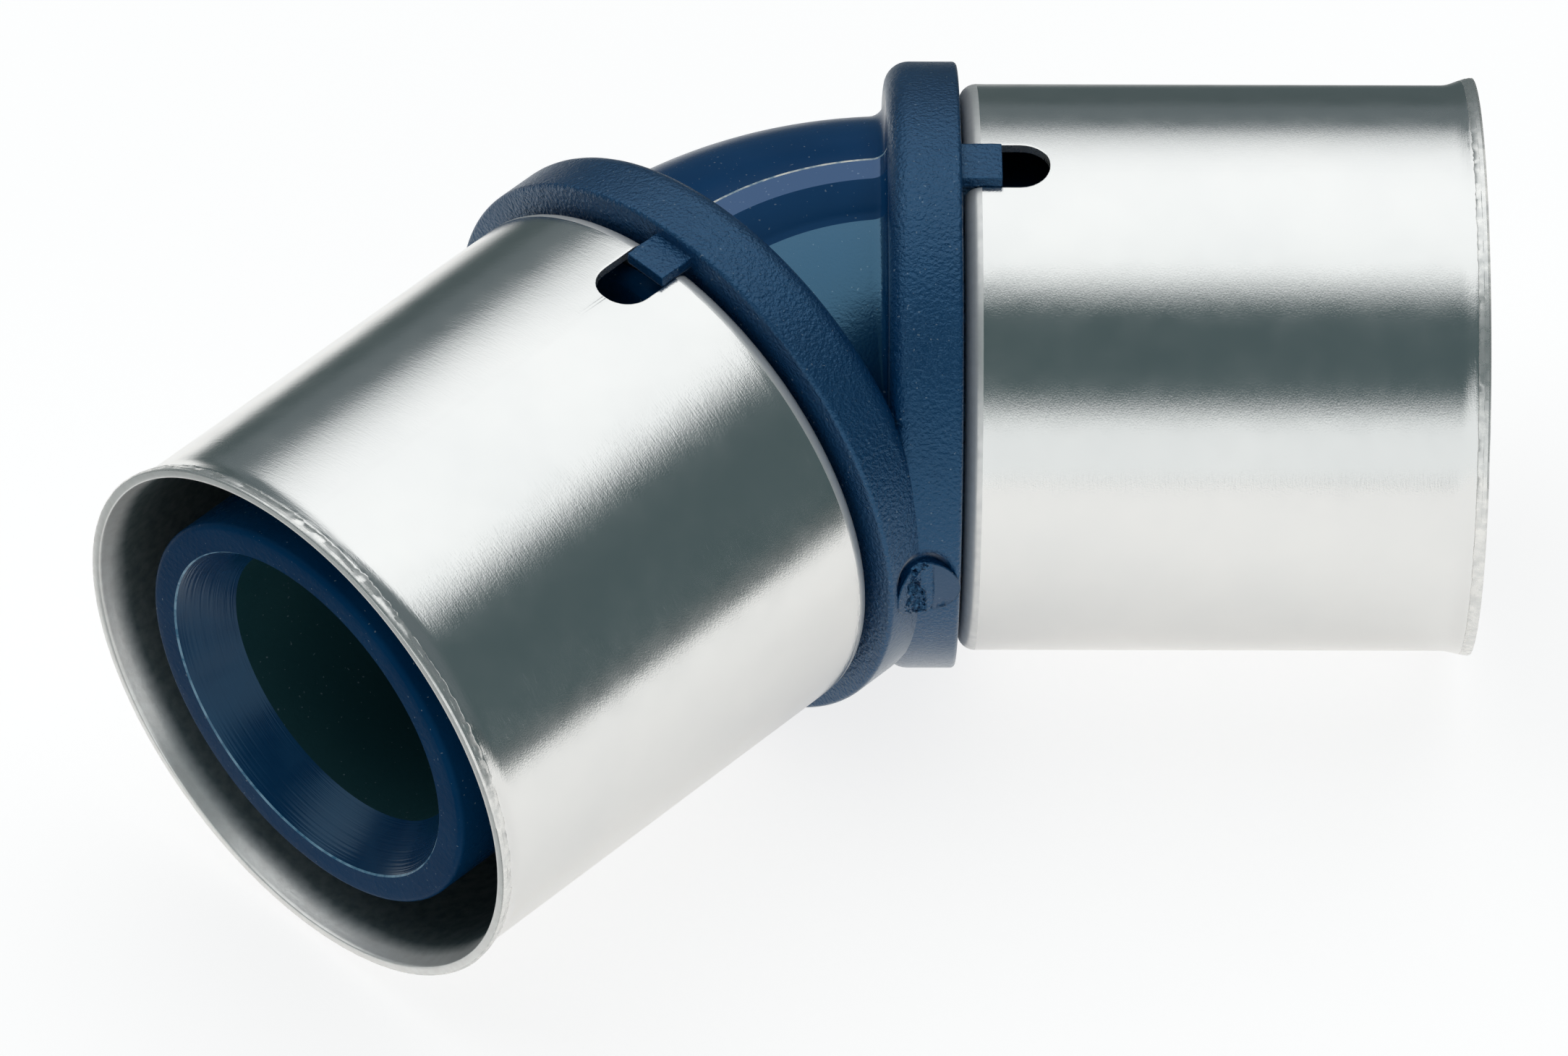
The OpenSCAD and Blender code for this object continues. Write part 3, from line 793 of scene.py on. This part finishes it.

# %% [markdown]
# The body is one blue plastic, but the mould gave its parts different skins: glossy where the
# steel was polished, grained on the flanges, and torn or cut where the gate was. One function
# makes them all, so they share one kind of cloudiness and dust, and differ in tone, roughness,
# grain, the strength of the gloss and its tint. The bore's darker teal tone is painted shade, and
# the tube and the flanges get a painted pale reflection on grazing faces that face down.

# %% Blue plastic
def blue_plastic(name, dark, light, rough, grain, height, ior, tint=(0.45, 0.72, 1.0), wave=0.0,
                 glow=0.0, cloud_scale=90):
    """Blue polyamide: a cloudy colour with dust specks, roughness that wanders, a bump of grain,
    a slow wave of the mould, a blue tint in the gloss, and, by the amount glow, a painted pale
    reflection in the base colour on grazing faces that face down."""
    mat, tree, shader, place = finish_named(name)
    cloud = spread(tree, noise(tree, place, cloud_scale, 4), 0.35, 0.65, 0, 1)
    tone = two_tone(tree, cloud, dark, light)
    dust = spread(tree, noise(tree, place, 3400, 0), 0.81, 0.83, 0, 0.35)
    colour = two_tone(tree, dust, tone, (0.35, 0.42, 0.48))
    if glow:
        # Painted reflection: a pale tone mixed into the base colour on grazing faces that face down,
        # where the white table would be mirrored.
        facing = add_node(tree, "LayerWeight", Blend=0.5).outputs["Facing"]
        lean = add_node(tree, "SeparateXYZ", {"Vector": add_node(tree, "TexCoord").outputs["Normal"]})
        graze = spread(tree, facing, 0.42, 0.95, 0, 1)
        graze = combine(tree, "MULTIPLY", graze, graze)
        under = spread(tree, lean.outputs[2], 0.1, -0.4, 0, glow)
        painted_reflection = combine(tree, "MULTIPLY", graze, under)
        colour = two_tone(tree, painted_reflection, colour, (0.62, 0.62, 0.63))
    tree.links.new(colour, shader.inputs["Base Color"])
    wander = spread(tree, noise(tree, place, 260, 3), 0.3, 0.7, *rough)
    tree.links.new(wander, shader.inputs["Roughness"])
    normal = None
    if wave:
        normal = relief(tree, noise(tree, place, 120, 2), 1.0, wave)
    normal = relief(tree, noise(tree, place, grain, 3, 0.55), 1.0, height, normal)
    tree.links.new(normal, shader.inputs["Normal"])
    shader.inputs["IOR"].default_value = ior
    shader.inputs["Specular Tint"].default_value = (*tint, 1)
    return mat


bend_blue = blue_plastic("bend_blue", (0.0015, 0.030, 0.098), (0.0025, 0.036, 0.110), (0.12, 0.18),
                         grain=2600, height=0.00001, ior=2.1, tint=(0.36, 0.58, 1.0), wave=0.00003)
band_blue = blue_plastic("band_blue", (0.0030, 0.040, 0.122), (0.0045, 0.048, 0.142), (0.16, 0.24),
                         grain=2600, height=0.00001, ior=1.20, tint=(0.5, 0.8, 1.0), wave=0.00003)
# tube_blue and flange_blue get glow: a painted pale reflection on grazing faces that face down.
tube_blue = blue_plastic("tube_blue", (0.0012, 0.032, 0.094), (0.0025, 0.040, 0.112), (0.15, 0.21),
                         grain=3000, height=0.00003, ior=2.1, tint=(0.32, 0.70, 1.0), wave=0.00003,
                         glow=0.5)
flange_blue = blue_plastic("flange_blue", (0.0008, 0.026, 0.082), (0.0020, 0.034, 0.100),
                           (0.24, 0.32), grain=2600, height=0.00020, ior=1.87,
                           tint=(0.28, 0.61, 1.0), glow=0.9)
spigot_blue = blue_plastic("spigot_blue", (0.001, 0.034, 0.102), (0.003, 0.044, 0.122),
                           (0.24, 0.34), grain=1800, height=0.00004, ior=1.10, tint=(0.4, 0.7, 1.0))
torn_blue = blue_plastic("torn_blue", (0.0005, 0.010, 0.046), (0.085, 0.240, 0.460), (0.2, 0.4),
                         grain=4200, height=0.0002, ior=1.5, tint=(0.5, 0.8, 1.0), cloud_scale=2600)
cut_blue = blue_plastic("cut_blue", (0.008, 0.042, 0.112), (0.016, 0.056, 0.132), (0.34, 0.44),
                        grain=3000, height=0.00006, ior=1.7, tint=(0.6, 0.8, 1.0))
# Painted shade: the bore is the same blue plastic, given a darker teal tone for how it looks in the
# bore's shade.
bore_painted_shade_blue = blue_plastic("bore_painted_shade_blue", (0.014, 0.056, 0.066), (0.018, 0.064, 0.074), (0.35, 0.45),
                         grain=1800, height=0.00003, ior=1.35)
print("plastic finishes ready")

# %% [markdown]
# Two places of the body need more than a plain skin. The mouth's cone carries the fine rings of
# a turning tool, which are noise in one dimension: the distance along the leg. The bend's ridge
# and the mouth's edge get a painted pale highlight, with breaks, and the mouth's edge is the
# bluer of them.

# %% Turned mouth and painted edge highlights
def leg_station(tree, place):
    """Distance along the nearer leg: the larger of x and the same measure for leg B."""
    turn = math.radians(-135)
    leg_b = (math.cos(turn), math.sin(turn), 0)
    return combine(tree, "MAXIMUM", along(tree, place, (1, 0, 0)), along(tree, place, leg_b))


def turned_plastic():
    """The mouth's cone was turned: fine rings of constant station run round it."""
    mat, tree, shader, place = finish_named("mouth_blue")
    rings = add_node(tree, "TexNoise", {"W": leg_station(tree, place)}, noise_dimensions="1D",
                     Scale=5200.0, Detail=3.0).outputs["Fac"]
    cloud = spread(tree, noise(tree, place, 220, 4), 0.35, 0.65, 0, 1)
    tree.links.new(two_tone(tree, cloud, (0.001, 0.030, 0.092), (0.004, 0.042, 0.112)),
                   shader.inputs["Base Color"])
    tree.links.new(spread(tree, cloud, 0, 1, 0.16, 0.26), shader.inputs["Roughness"])
    tree.links.new(relief(tree, rings, 1.0, 0.00003), shader.inputs["Normal"])
    shader.inputs["IOR"].default_value = 1.5
    shader.inputs["Specular Tint"].default_value = (0.45, 0.75, 1.0, 1)
    return mat


def paint_edge_highlight():
    """A painted highlight: a pale tone in breaks along the edge, one pair of tones on the bend's
    ridge, a bluer pair at the mouth, chosen by the distance along the leg."""
    mat, tree, shader, place = finish_named("painted_highlight_edge")
    breaks = spread(tree, noise(tree, place, 800, 3), 0.40, 0.60, 0, 1)
    bend = two_tone(tree, breaks, (0.16, 0.28, 0.38), (0.78, 0.77, 0.71))
    mouth = two_tone(tree, breaks, (0.06, 0.20, 0.34), (0.24, 0.44, 0.60))
    at_mouth = spread(tree, leg_station(tree, place), 0.040, 0.050, 0, 1)
    tree.links.new(two_tone(tree, at_mouth, bend, mouth), shader.inputs["Base Color"])
    tree.links.new(spread(tree, breaks, 0, 1, 0.25, 0.4), shader.inputs["Roughness"])
    return mat


mouth_blue, painted_highlight_edge = turned_plastic(), paint_edge_highlight()
print("mouth and edge finishes ready")

# %% [markdown]
# The sleeves are stainless sheet. Drawing leaves short strokes that run round the sleeve and
# mirror the room in streaks, so the strokes are a bump and not a colour. The rear shoulder was
# stretched and is satin, the sheared band is grainy, and the inside was never polished.

# %% Steel
def drawn_steel(name, turn):
    """Stainless sheet: short fine strokes run round the sleeve, over finer specks, and roughness
    changes slowly over the surface."""
    mat, tree, shader, place = finish_named(name)
    cloud = spread(tree, noise(tree, place, 70, 4), 0.3, 0.7, 0, 1)
    tree.links.new(two_tone(tree, cloud, (0.74, 0.74, 0.735), (0.78, 0.775, 0.765)),
                   shader.inputs["Base Color"])
    shader.inputs["Metallic"].default_value = 1.0
    strokes = noise(tree, place, 1.0, 3, 0.6, (5600, 800, 800), turn)
    rough = spread(tree, noise(tree, place, 350, 4), 0.25, 0.75, 0.14, 0.21)
    tree.links.new(rough, shader.inputs["Roughness"])
    specks = relief(tree, noise(tree, place, 6500, 1), 1.0, 0.000006)
    tree.links.new(relief(tree, strokes, 1.0, 0.000014, specks), shader.inputs["Normal"])
    return mat


def rough_steel(name, dark, light, rough, grain, height, metal=1.0):
    """Sheared or satin steel: grainy, with a colour and roughness that change in patches."""
    mat, tree, shader, place = finish_named(name)
    patch = spread(tree, noise(tree, place, grain / 3, 4), 0.35, 0.65, 0, 1)
    tree.links.new(two_tone(tree, patch, dark, light), shader.inputs["Base Color"])
    shader.inputs["Metallic"].default_value = metal
    tree.links.new(spread(tree, patch, 0, 1, rough + 0.06, rough - 0.06), shader.inputs["Roughness"])
    tree.links.new(relief(tree, noise(tree, place, grain, 2), 1.0, height), shader.inputs["Normal"])
    return mat


def inner_steel():
    """Inside of a sleeve: unpolished and dark, with a painted reflection that turns it bright
    towards the flared mouth, over a station that a slow noise moves to and fro."""
    mat, tree, shader, place = finish_named("inside_steel")
    patch = spread(tree, noise(tree, place, 1000, 4), 0.35, 0.65, 0, 1)
    dark = two_tone(tree, patch, (0.24, 0.31, 0.32), (0.38, 0.44, 0.44))
    pale = two_tone(tree, patch, (0.90, 0.88, 0.86), (0.97, 0.96, 0.94))
    uneven = spread(tree, noise(tree, place, 60, 2), 0, 1, -0.0009, 0.0009)
    station = combine(tree, "ADD", leg_station(tree, place), uneven)
    # Painted reflection: the inside is pale and less metallic towards the flared mouth, for the light it
    # mirrors there.
    painted_bright_band = spread(tree, station, (RIM - 2.6) / 1000, (RIM - 1.0) / 1000, 0, 1)
    tree.links.new(two_tone(tree, painted_bright_band, dark, pale), shader.inputs["Base Color"])
    tree.links.new(spread(tree, painted_bright_band, 0, 1, 0.8, 0.45), shader.inputs["Metallic"])
    tree.links.new(spread(tree, painted_bright_band, 0, 1, 0.42, 0.28), shader.inputs["Roughness"])
    tree.links.new(relief(tree, noise(tree, place, 3000, 2), 1.0, 0.00001), shader.inputs["Normal"])
    return mat


steel = {"a": drawn_steel("drawn_steel_a", 0.0), "b": drawn_steel("drawn_steel_b", math.radians(-135))}
sheared = rough_steel("sheared_steel", (0.70, 0.70, 0.69), (0.82, 0.81, 0.79), 0.28, 3600, 0.000006, 0.85)
inside = inner_steel()
satin = rough_steel("satin_steel", (0.76, 0.755, 0.75), (0.84, 0.83, 0.82), 0.34, 2600, 0.000005, 0.5)
print("steel finishes ready")

# %% [markdown]
# The rings are black rubber, dull from the mould. They are hidden in the fitting, so they stay
# the plain CAD rings and get no more than this finish.

# %% Rubber
def black_rubber():
    """Nearly black, a little cloudy and rough, with a fine bump."""
    mat, tree, shader, place = finish_named("seal_rubber")
    cloud = spread(tree, noise(tree, place, 900, 4), 0.3, 0.7, 0, 1)
    tree.links.new(two_tone(tree, cloud, (0.018, 0.018, 0.019), (0.034, 0.034, 0.036)),
                   shader.inputs["Base Color"])
    tree.links.new(spread(tree, cloud, 0, 1, 0.42, 0.6), shader.inputs["Roughness"])
    tree.links.new(relief(tree, noise(tree, place, 5000, 2), 0.6, 0.00003), shader.inputs["Normal"])
    return mat


rubber = black_rubber()
print("rubber ready")

# %% [markdown]
# A skin gets its materials in the order of its finishes' numbers. It rides on the one body of
# the CAD row, takes the place of its plain CAD piece, and its slot names what it is made of.

# %% Give the pieces their finishes and bodies
for mat in (bend_blue, flange_blue, spigot_blue, mouth_blue, torn_blue, painted_highlight_edge, bore_painted_shade_blue, cut_blue,
            band_blue, tube_blue):
    body.data.materials.append(mat)
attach(body, "root")
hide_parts("elbow_body")
for leg, sleeve in sleeves.items():
    for mat in (steel[leg], sheared, inside, satin):
        sleeve.data.materials.append(mat)
    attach(sleeve, "root")
    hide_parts("press_sleeve_" + leg)
for name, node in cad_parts.items():
    if name.startswith("seal_ring"):
        node.data.materials.clear()
        node.data.materials.append(rubber)
print("finishes given")

# %% [markdown]
# ## The studio
# The photograph was taken under one large soft light overhead, with a white card in front and a
# dark room round the camera, and the steel shows all of it. The room is a world of directions:
# for a direction that is not straight at the camera, brightness depends only on where it points.
# Lamps could do this too, but a soft step has no noise and can be set from what the steel shows.

# %% World
def studio_world():
    """Brightness of a direction: the lamp is the product of four soft steps on a flat ceiling,
    the card is the product of two, low in front, and the room's dark tone is added everywhere.
    The camera sees white."""
    world = bpy.data.worlds.new("studio")
    bpy.context.scene.world = world
    world.use_nodes = True
    tree = world.node_tree
    tree.nodes.clear()
    way = add_node(tree, "TexCoord").outputs["Generated"]
    axes = add_node(tree, "SeparateXYZ", {"Vector": way})
    x, y, z = axes.outputs

    def step(value, low, high):
        """0 below low, 1 above high, and a soft step between."""
        return spread(tree, value, low, high, 0, 1, "SMOOTHSTEP")

    def times(a, b):
        """The product of two numbers or sockets."""
        return combine(tree, "MULTIPLY", a, b)

    height = combine(tree, "MAXIMUM", z, 0.04)
    u, v = combine(tree, "DIVIDE", x, height), combine(tree, "DIVIDE", y, height)
    right = combine(tree, "SUBTRACT", 1.0, step(u, 0.70, 0.93))
    left = step(u, -1.9, -1.3)
    front = step(v, -0.40, -0.02)
    back = combine(tree, "SUBTRACT", 1.0, step(v, 0.75, 3.6))
    lamp = times(times(times(right, left), times(front, back)), step(z, 0.02, 0.2))
    card = times(step(times(y, -1.0), 0.40, 0.62), combine(tree, "SUBTRACT", 1.0, step(z, 0.36, 0.60)))
    light = combine(tree, "ADD", times(lamp, 1.06), times(card, 0.90))
    rest = two_tone(tree, step(y, -0.2, 0.5), (0.080, 0.118, 0.124), (0.140, 0.172, 0.182))
    tint = add_node(tree, "VectorMath", operation="SCALE")
    tint.inputs[0].default_value = (1.0, 1.0, 0.995)
    tree.links.new(light, tint.inputs["Scale"])
    total = add_node(tree, "VectorMath", operation="ADD")
    tree.links.new(tint.outputs[0], total.inputs[0])
    tree.links.new(rest, total.inputs[1])
    studio = add_node(tree, "Background", {"Color": total.outputs[0]}, Strength=1.0)
    plain = add_node(tree, "Background", Strength=1.0)
    plain.inputs["Color"].default_value = (1, 1, 1, 1)
    seen = add_node(tree, "LightPath").outputs["Is Camera Ray"]
    mix = add_node(tree, "MixShader", {0: seen, 1: studio.outputs[0], 2: plain.outputs[0]})
    out = add_node(tree, "OutputWorld")
    tree.links.new(mix.outputs[0], out.inputs[0])


studio_world()
print("world ready")

# %% [markdown]
# The fitting lies on its flanges on a white table. What the steel mirrors of the table is
# bright beside the fitting, and dark further back, further to the right and in front of leg
# B's mouth, where the dark patch is a painted shadow. One plane does both: the camera's rays
# get one look, all other rays the other.

# %% Table
def white_table():
    """A white plane for the camera, with the fitting's soft shadow. For all other rays its tone
    is a product of ramps: behind, at the right, and beyond leg B's mouth, where the darkening is
    a painted shadow."""
    size, level = 3.0, -FLANGE_R / 1000
    mesh = bpy.data.meshes.new("table")
    mesh.from_pydata([(-size, -size, level), (size, -size, level), (size, size, level),
                      (-size, size, level)], [], [(0, 1, 2, 3)])
    table = bpy.data.objects.new("table", mesh)
    bpy.context.scene.collection.objects.link(table)
    mat, tree, shader, place = finish_named("table_white")
    tree.nodes.remove(shader)
    axes = add_node(tree, "SeparateXYZ", {"Vector": place})
    far = spread(tree, along(tree, place, (0.35, 1.0, 0)), 0.052, 0.118, 1, 0.03)
    side = spread(tree, axes.outputs[0], 0.16, 0.24, 1, 0.08)
    both = combine(tree, "MULTIPLY", far, side)
    # Painted shadow: for all rays but the camera's, the table is darker in front of leg B's mouth.
    beyond = spread(tree, along(tree, place, (-0.7071, -0.7071, 0)), 0.072, 0.092, 0, 0.85)
    beside = spread(tree, along(tree, place, (0.7071, -0.7071, 0)), 0.02, 0.05, 1, 0)
    keep = combine(tree, "SUBTRACT", 1.0, combine(tree, "MULTIPLY", beyond, beside))
    both = combine(tree, "MULTIPLY", both, keep)
    seen = add_node(tree, "LightPath").outputs["Is Camera Ray"]
    matte = add_node(tree, "BsdfDiffuse")
    matte.inputs["Color"].default_value = (0.30, 0.30, 0.30, 1)
    glow = add_node(tree, "Emission", Strength=0.80)
    camera_look = add_node(tree, "AddShader", {0: matte.outputs[0], 1: glow.outputs[0]})
    tone = two_tone(tree, both, (0.040, 0.060, 0.063), (0.80, 0.785, 0.77))
    matte2 = add_node(tree, "BsdfDiffuse", {"Color": tone})
    mirrored = add_node(tree, "LightPath").outputs["Is Glossy Ray"]
    amount = spread(tree, mirrored, 0, 1, 0.30, 0.68)
    glow2 = add_node(tree, "Emission", {"Color": tone, "Strength": amount})
    room_look = add_node(tree, "AddShader", {0: matte2.outputs[0], 1: glow2.outputs[0]})
    mix = add_node(tree, "MixShader", {0: seen, 1: room_look.outputs[0], 2: camera_look.outputs[0]})
    tree.links.new(mix.outputs[0], tree.nodes["Material Output"].inputs[0])
    mesh.materials.append(mat)
    return table


white_table()
print("table", round(-FLANGE_R, 2), "mm below the pipe axes")

# %% [markdown]
# ## The camera
# A long lens about a metre away looks down at 47 degrees. Its place and turn come from a fit to
# the outlines of the sleeves, the flanges and the mouth.

# %% Camera
lens = bpy.data.cameras.new("camera")
lens.lens, lens.sensor_width, lens.sensor_fit = 264.2, 36.0, "HORIZONTAL"
lens.clip_start, lens.clip_end = 0.05, 20
camera = bpy.data.objects.new("camera", lens)
bpy.context.scene.collection.objects.link(camera)
right = (0.99990224, -0.00769924, 0.01167201)
above = (-0.00232329, 0.73166602, 0.68165932)
back = (-0.01378827, -0.6816198, 0.73157661)
turn = Matrix((right, above, back)).transposed().to_4x4()
camera.matrix_world = Matrix.Translation((-0.01549, -0.75309, 0.78558)) @ turn
bpy.context.scene.camera = camera
scene = bpy.context.scene
scene.view_settings.view_transform = "Standard"
print("camera at", [round(v, 3) for v in camera.matrix_world.translation], "m")
